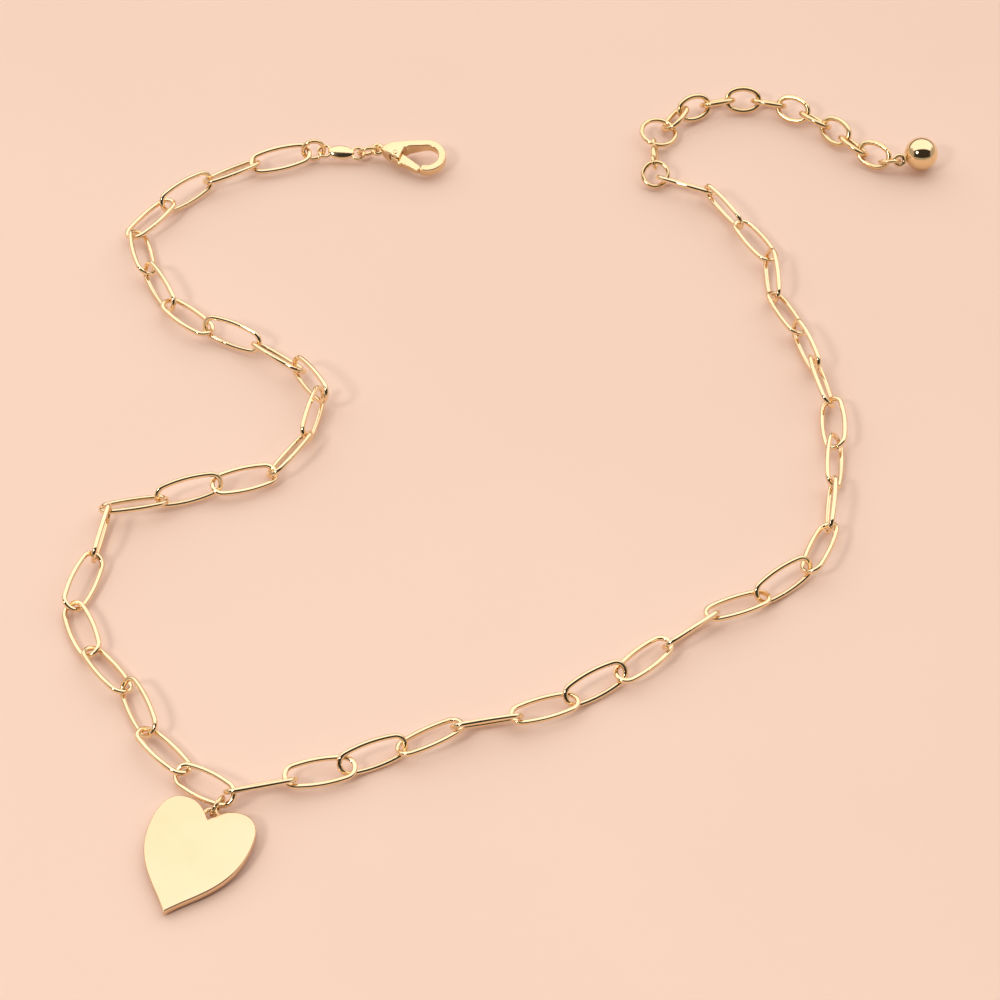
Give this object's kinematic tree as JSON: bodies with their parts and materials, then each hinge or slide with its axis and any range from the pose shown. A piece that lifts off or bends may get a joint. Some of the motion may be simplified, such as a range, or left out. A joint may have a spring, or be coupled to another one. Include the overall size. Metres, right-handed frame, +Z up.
{
  "type": "pendant necklace",
  "caption": "Gold paperclip-chain necklace laid open in loose curves, with a flat heart pendant, bean tags, a lobster clasp and an extender chain that ends in a ball.",
  "frame": {"origin": "on the surface that the necklace lies on, under the middle of its bounding box", "axes": "+Z up from the surface; +X along the short side of the lay and +Y along its long side, from the pendant towards the two open ends"},
  "size_m": [0.1568, 0.1836, 0.0069],
  "materials": {
    "chain_gold": "polished yellow-gold plate on drawn round wire",
    "extender_gold": "polished yellow-gold plate on round wire",
    "ring_gold": "polished yellow-gold plate, ends butted with a fine cut line",
    "tag_gold": "tumbled and gold plated, slightly soft reflections",
    "ball_gold": "mirror-polished yellow-gold plate",
    "heart_gold": "smooth gold plate with a fine brushed satin sheen",
    "clasp_gold": "cast, tumbled and gold plated",
    "spring_steel": "bright spring wire"
  },
  "bodies": {
    "link_left_01": {"link_left_01": "chain_gold"},
    "link_left_02": {"link_left_02": "chain_gold"},
    "link_left_03": {"link_left_03": "chain_gold"},
    "link_left_04": {"link_left_04": "chain_gold"},
    "link_left_05": {"link_left_05": "chain_gold"},
    "link_left_06": {"link_left_06": "chain_gold"},
    "link_left_07": {"link_left_07": "chain_gold"},
    "link_left_08": {"link_left_08": "chain_gold"},
    "link_left_09": {"link_left_09": "chain_gold"},
    "link_left_10": {"link_left_10": "chain_gold"},
    "link_left_11": {"link_left_11": "chain_gold"},
    "link_left_12": {"link_left_12": "chain_gold"},
    "link_left_13": {"link_left_13": "chain_gold"},
    "link_left_14": {"link_left_14": "chain_gold"},
    "link_left_15": {"link_left_15": "chain_gold"},
    "link_left_16": {"link_left_16": "chain_gold"},
    "link_left_17": {"link_left_17": "chain_gold"},
    "link_left_18": {"link_left_18": "chain_gold"},
    "link_left_19": {"link_left_19": "chain_gold"},
    "link_left_20": {"link_left_20": "chain_gold"},
    "link_left_21": {"link_left_21": "chain_gold"},
    "link_left_22": {"link_left_22": "chain_gold"},
    "left_end_ring": {"left_end_ring": "ring_gold"},
    "left_tag": {"left_tag": "tag_gold"},
    "clasp_ring": {"clasp_ring": "ring_gold"},
    "clasp_body": {"clasp_body": "clasp_gold", "clasp_pin": "clasp_gold", "clasp_spring": "spring_steel"},
    "link_right_01": {"link_right_01": "chain_gold"},
    "link_right_02": {"link_right_02": "chain_gold"},
    "link_right_03": {"link_right_03": "chain_gold"},
    "link_right_04": {"link_right_04": "chain_gold"},
    "link_right_05": {"link_right_05": "chain_gold"},
    "link_right_06": {"link_right_06": "chain_gold"},
    "link_right_07": {"link_right_07": "chain_gold"},
    "link_right_08": {"link_right_08": "chain_gold"},
    "link_right_09": {"link_right_09": "chain_gold"},
    "link_right_10": {"link_right_10": "chain_gold"},
    "link_right_11": {"link_right_11": "chain_gold"},
    "link_right_12": {"link_right_12": "chain_gold"},
    "link_right_13": {"link_right_13": "chain_gold"},
    "link_right_14": {"link_right_14": "chain_gold"},
    "link_right_15": {"link_right_15": "chain_gold"},
    "link_right_16": {"link_right_16": "chain_gold"},
    "link_right_17": {"link_right_17": "chain_gold"},
    "link_right_18": {"link_right_18": "chain_gold"},
    "link_right_19": {"link_right_19": "chain_gold"},
    "link_right_20": {"link_right_20": "chain_gold"},
    "link_right_21": {"link_right_21": "chain_gold"},
    "link_right_22": {"link_right_22": "chain_gold"},
    "right_end_ring": {"right_end_ring": "ring_gold"},
    "right_tag": {"right_tag": "tag_gold"},
    "extender_ring": {"extender_ring": "ring_gold"},
    "extender_links_inner": {"extender_links_inner": "extender_gold"},
    "extender_links_outer": {"extender_links_outer": "extender_gold"},
    "drop_ring": {"drop_ring": "ring_gold"},
    "ball_drop": {"ball_drop": "ball_gold"},
    "pendant_ring": {"pendant_ring": "ring_gold"},
    "heart_pendant": {"heart_pendant": "heart_gold"},
    "clasp_lever": {"clasp_lever": "clasp_gold"}
  },
  "joints": [
    {"name": "link_left_02_swing", "type": "hinge", "parent": "link_left_01", "child": "link_left_02", "pos_m": [-0.05575, -0.06518, 0.00247], "axis": [-0.9044, -0.0795, -0.4193], "range_deg": [-10, 35]},
    {"name": "link_left_03_swing", "type": "hinge", "parent": "link_left_02", "child": "link_left_03", "pos_m": [-0.06283, -0.05782, 0.00197], "axis": [-0.8064, -0.4634, 0.3675], "range_deg": [-35, 35]},
    {"name": "link_left_04_swing", "type": "hinge", "parent": "link_left_03", "child": "link_left_04", "pos_m": [-0.06685, -0.05057, 0.00113], "axis": [-0.3428, 0.9313, 0.1231], "range_deg": [-15, 35]},
    {"name": "link_left_05_swing", "type": "hinge", "parent": "link_left_04", "child": "link_left_05", "pos_m": [-0.07269, -0.04127, 0.00153], "axis": [0.8696, 0.2743, -0.4105], "range_deg": [-15, 30]},
    {"name": "link_left_06_swing", "type": "hinge", "parent": "link_left_05", "child": "link_left_06", "pos_m": [-0.07609, -0.03213, 0.00203], "axis": [-0.9245, 0.1548, -0.3483], "range_deg": [-20, 35]},
    {"name": "link_left_07_swing", "type": "hinge", "parent": "link_left_06", "child": "link_left_07", "pos_m": [-0.07365, -0.0225, 0.00289], "axis": [-0.829, 0.0638, 0.5556], "range_deg": [-35, 35]},
    {"name": "link_left_08_swing", "type": "hinge", "parent": "link_left_07", "child": "link_left_08", "pos_m": [-0.07195, -0.01275, 0.004], "axis": [0.0253, -0.5749, 0.8179], "range_deg": [-35, 25]},
    {"name": "link_left_09_swing", "type": "hinge", "parent": "link_left_08", "child": "link_left_09", "pos_m": [-0.06253, -0.00993, 0.00218], "axis": [0.2878, -0.8376, 0.4644], "range_deg": [-35, 35]},
    {"name": "link_left_10_swing", "type": "hinge", "parent": "link_left_09", "child": "link_left_10", "pos_m": [-0.05382, -0.00729, 0.00152], "axis": [0.6474, 0.5306, 0.5472], "range_deg": [-35, 5]},
    {"name": "link_left_11_swing", "type": "hinge", "parent": "link_left_10", "child": "link_left_11", "pos_m": [-0.04468, -0.00286, 0.00215], "axis": [-0.7829, 0.579, 0.2277], "range_deg": [-10, 35]},
    {"name": "link_left_12_swing", "type": "hinge", "parent": "link_left_11", "child": "link_left_12", "pos_m": [-0.03918, 0.00487, 0.00206], "axis": [0.745, -0.0638, 0.664], "range_deg": [-35, 20]},
    {"name": "link_left_13_swing", "type": "hinge", "parent": "link_left_12", "child": "link_left_13", "pos_m": [-0.03655, 0.01419, 0.0021], "axis": [0.1583, -0.5218, -0.8382], "range_deg": [-35, 18]},
    {"name": "link_left_14_swing", "type": "hinge", "parent": "link_left_13", "child": "link_left_14", "pos_m": [-0.04132, 0.01862, 0.00218], "axis": [0.4957, -0.8681, 0.0251], "range_deg": [-18, 35]},
    {"name": "link_left_15_swing", "type": "hinge", "parent": "link_left_14", "child": "link_left_15", "pos_m": [-0.04934, 0.02604, 0.00259], "axis": [-0.2943, -0.6528, 0.6981], "range_deg": [-35, 35]},
    {"name": "link_left_16_swing", "type": "hinge", "parent": "link_left_15", "child": "link_left_16", "pos_m": [-0.05764, 0.02939, 0.00124], "axis": [-0.7902, 0.5592, 0.251], "range_deg": [-15, 35]},
    {"name": "link_left_17_swing", "type": "hinge", "parent": "link_left_16", "child": "link_left_17", "pos_m": [-0.06556, 0.03693, 0.00229], "axis": [0.8438, 0.515, -0.1509], "range_deg": [-35, 35]},
    {"name": "link_left_18_swing", "type": "hinge", "parent": "link_left_17", "child": "link_left_18", "pos_m": [-0.07034, 0.04412, 0.00139], "axis": [0.2265, -0.8368, -0.4984], "range_deg": [-30, 35]},
    {"name": "link_left_19_swing", "type": "hinge", "parent": "link_left_18", "child": "link_left_19", "pos_m": [-0.07299, 0.05458, 0.00242], "axis": [-0.6845, -0.4109, 0.6022], "range_deg": [-15, 35]},
    {"name": "link_left_20_swing", "type": "hinge", "parent": "link_left_19", "child": "link_left_20", "pos_m": [-0.06671, 0.06236, 0.00269], "axis": [0.6584, -0.7165, 0.2305], "range_deg": [-35, 35]},
    {"name": "link_left_21_swing", "type": "hinge", "parent": "link_left_20", "child": "link_left_21", "pos_m": [-0.05975, 0.06803, 0.00212], "axis": [-0.0421, -0.584, -0.8107], "range_deg": [-35, 35]},
    {"name": "link_left_22_swing", "type": "hinge", "parent": "link_left_21", "child": "link_left_22", "pos_m": [-0.05115, 0.07242, 0.0026], "axis": [0.3682, 0.8642, -0.3429], "range_deg": [-8, 35]},
    {"name": "left_end_ring_swing", "type": "hinge", "parent": "link_left_22", "child": "left_end_ring", "pos_m": [-0.04138, 0.07558, 0.00251], "axis": [-0.1633, 0.9117, 0.3771], "range_deg": [-30, 35]},
    {"name": "left_tag_swing", "type": "hinge", "parent": "left_end_ring", "child": "left_tag", "pos_m": [-0.03884, 0.0761, 0.00192], "axis": [-0.4254, -0.2316, -0.8749], "range_deg": [-20, 35]},
    {"name": "clasp_ring_swing", "type": "hinge", "parent": "left_tag", "child": "clasp_ring", "pos_m": [-0.03106, 0.07615, 0.00195], "axis": [0.2212, -0.9116, -0.3464], "range_deg": [-35, 15]},
    {"name": "clasp_body_swing", "type": "hinge", "parent": "clasp_ring", "child": "clasp_body", "pos_m": [-0.02841, 0.07663, 0.00212], "axis": [-0.2705, 0.4416, -0.8555], "range_deg": [-35, 35]},
    {"name": "link_right_01_swing", "type": "hinge", "parent": "link_left_01", "child": "link_right_01", "pos_m": [-0.04728, -0.07116, 0.00359], "axis": [-0.0601, 0.9302, 0.3622], "range_deg": [-35, 35]},
    {"name": "link_right_02_swing", "type": "hinge", "parent": "link_right_01", "child": "link_right_02", "pos_m": [-0.03936, -0.06725, 0.00118], "axis": [0.9807, 0.0656, 0.1845], "range_deg": [-8, 35]},
    {"name": "link_right_03_swing", "type": "hinge", "parent": "link_right_02", "child": "link_right_03", "pos_m": [-0.0286, -0.06479, 0.00217], "axis": [0.4085, -0.8894, -0.2054], "range_deg": [-12, 5]},
    {"name": "link_right_04_swing", "type": "hinge", "parent": "link_right_03", "child": "link_right_04", "pos_m": [-0.02109, -0.06236, 0.00107], "axis": [0.7535, 0.5791, 0.3111], "range_deg": [-35, 15]},
    {"name": "link_right_05_swing", "type": "hinge", "parent": "link_right_04", "child": "link_right_05", "pos_m": [-0.01138, -0.05766, 0.00257], "axis": [-0.0718, 0.9585, -0.2759], "range_deg": [-10, 20]},
    {"name": "link_right_06_swing", "type": "hinge", "parent": "link_right_05", "child": "link_right_06", "pos_m": [-0.00279, -0.05549, 0.00142], "axis": [0.8798, -0.0826, 0.468], "range_deg": [-5, 35]},
    {"name": "link_right_07_swing", "type": "hinge", "parent": "link_right_06", "child": "link_right_07", "pos_m": [0.00723, -0.05195, 0.00184], "axis": [0.4284, -0.898, 0.0998], "range_deg": [-35, 8]},
    {"name": "link_right_08_swing", "type": "hinge", "parent": "link_right_07", "child": "link_right_08", "pos_m": [0.01462, -0.04814, 0.00122], "axis": [0.761, 0.6194, 0.1928], "range_deg": [-35, 3]},
    {"name": "link_right_09_swing", "type": "hinge", "parent": "link_right_08", "child": "link_right_09", "pos_m": [0.02265, -0.04073, 0.00231], "axis": [-0.6112, 0.7897, -0.0519], "range_deg": [-12, 20]},
    {"name": "link_right_10_swing", "type": "hinge", "parent": "link_right_09", "child": "link_right_10", "pos_m": [0.03022, -0.03516, 0.00183], "axis": [0.6911, 0.0964, 0.7163], "range_deg": [-10, 35]},
    {"name": "link_right_11_swing", "type": "hinge", "parent": "link_right_10", "child": "link_right_11", "pos_m": [0.0395, -0.03084, 0.00192], "axis": [0.4953, -0.8362, 0.2356], "range_deg": [-35, 35]},
    {"name": "link_right_12_swing", "type": "hinge", "parent": "link_right_11", "child": "link_right_12", "pos_m": [0.04682, -0.02615, 0.0014], "axis": [0.5501, 0.7402, 0.3865], "range_deg": [-35, 25]},
    {"name": "link_right_13_swing", "type": "hinge", "parent": "link_right_12", "child": "link_right_13", "pos_m": [0.05062, -0.01605, 0.0022], "axis": [-0.8847, 0.0045, -0.4661], "range_deg": [-8, 35]},
    {"name": "link_right_14_swing", "type": "hinge", "parent": "link_right_13", "child": "link_right_14", "pos_m": [0.05229, -0.00651, 0.00238], "axis": [0.215, 0.1958, 0.9568], "range_deg": [-30, 15]},
    {"name": "link_right_15_swing", "type": "hinge", "parent": "link_right_14", "child": "link_right_15", "pos_m": [0.05237, 0.00209, 0.00398], "axis": [0.2418, 0.9576, -0.1568], "range_deg": [-35, 20]},
    {"name": "link_right_16_swing", "type": "hinge", "parent": "link_right_15", "child": "link_right_16", "pos_m": [0.05329, 0.01247, 0.00205], "axis": [-0.84, -0.151, -0.5211], "range_deg": [-35, 35]},
    {"name": "link_right_17_swing", "type": "hinge", "parent": "link_right_16", "child": "link_right_17", "pos_m": [0.05087, 0.02192, 0.00284], "axis": [-0.5312, -0.2461, 0.8107], "range_deg": [-18, 20]},
    {"name": "link_right_18_swing", "type": "hinge", "parent": "link_right_17", "child": "link_right_18", "pos_m": [0.04834, 0.03024, 0.00317], "axis": [0.2704, -0.1311, 0.9538], "range_deg": [-35, 35]},
    {"name": "link_right_19_swing", "type": "hinge", "parent": "link_right_18", "child": "link_right_19", "pos_m": [0.04524, 0.0386, 0.00189], "axis": [0.8869, 0.0564, -0.4584], "range_deg": [-35, 35]},
    {"name": "link_right_20_swing", "type": "hinge", "parent": "link_right_19", "child": "link_right_20", "pos_m": [0.04412, 0.04678, 0.00125], "axis": [-0.0073, -0.9718, -0.2357], "range_deg": [-35, 25]},
    {"name": "link_right_21_swing", "type": "hinge", "parent": "link_right_20", "child": "link_right_21", "pos_m": [0.03958, 0.05648, 0.00258], "axis": [-0.8192, -0.5204, 0.2412], "range_deg": [-35, 35]},
    {"name": "link_right_22_swing", "type": "hinge", "parent": "link_right_21", "child": "link_right_22", "pos_m": [0.03405, 0.06453, 0.00403], "axis": [-0.2226, 0.5437, -0.8092], "range_deg": [-35, 3]},
    {"name": "right_end_ring_swing", "type": "hinge", "parent": "link_right_22", "child": "right_end_ring", "pos_m": [0.02667, 0.06954, 0.00112], "axis": [0.9622, -0.1429, -0.2318], "range_deg": [-25, 35]},
    {"name": "right_tag_swing", "type": "hinge", "parent": "right_end_ring", "child": "right_tag", "pos_m": [0.02414, 0.07178, 0.00327], "axis": [-0.9796, -0.1004, -0.1743], "range_deg": [-35, 35]},
    {"name": "extender_ring_swing", "type": "hinge", "parent": "right_tag", "child": "extender_ring", "pos_m": [0.0246, 0.07916, 0.00229], "axis": [-0.2913, -0.4752, 0.8303], "range_deg": [-15, 35]},
    {"name": "extender_links_inner_swing", "type": "hinge", "parent": "extender_ring", "child": "extender_links_inner", "pos_m": [0.02706, 0.08447, 0.00186], "axis": [0.8846, -0.4451, -0.1391], "range_deg": [-35, 12]},
    {"name": "extender_links_outer_swing", "type": "hinge", "parent": "extender_links_inner", "child": "extender_links_outer", "pos_m": [0.05014, 0.08814, 0.00253], "axis": [-0.3747, -0.679, 0.6313], "range_deg": [-35, 35]},
    {"name": "drop_ring_swing", "type": "hinge", "parent": "extender_links_outer", "child": "drop_ring", "pos_m": [0.06785, 0.07237, 0.00143], "axis": [0.8686, -0.1115, 0.4827], "range_deg": [-35, 35]},
    {"name": "ball_drop_swing", "type": "hinge", "parent": "drop_ring", "child": "ball_drop", "pos_m": [0.07107, 0.07266, 0.00278], "axis": [-0.0286, 0.7662, -0.6419], "range_deg": [-35, 35]},
    {"name": "pendant_ring_swing", "type": "hinge", "parent": "link_left_01", "child": "pendant_ring", "pos_m": [-0.04986, -0.07227, 0.00203], "axis": [-0.7807, 0.6205, -0.0746], "range_deg": [-35, 12]},
    {"name": "heart_pendant_swing", "type": "hinge", "parent": "pendant_ring", "child": "heart_pendant", "pos_m": [-0.05071, -0.07409, 0.00155], "axis": [0.1263, 0.5173, -0.8464], "range_deg": [-20, 35]},
    {"name": "clasp_lever_open", "type": "hinge", "parent": "clasp_body", "child": "clasp_lever", "pos_m": [-0.02482, 0.07467, 0.00229], "axis": [-0.0426, -0.1683, 0.9848], "range_deg": [0, 28], "stiffness_Nm_per_rad": 0.00002, "springref_deg": -20.05}
  ]
}
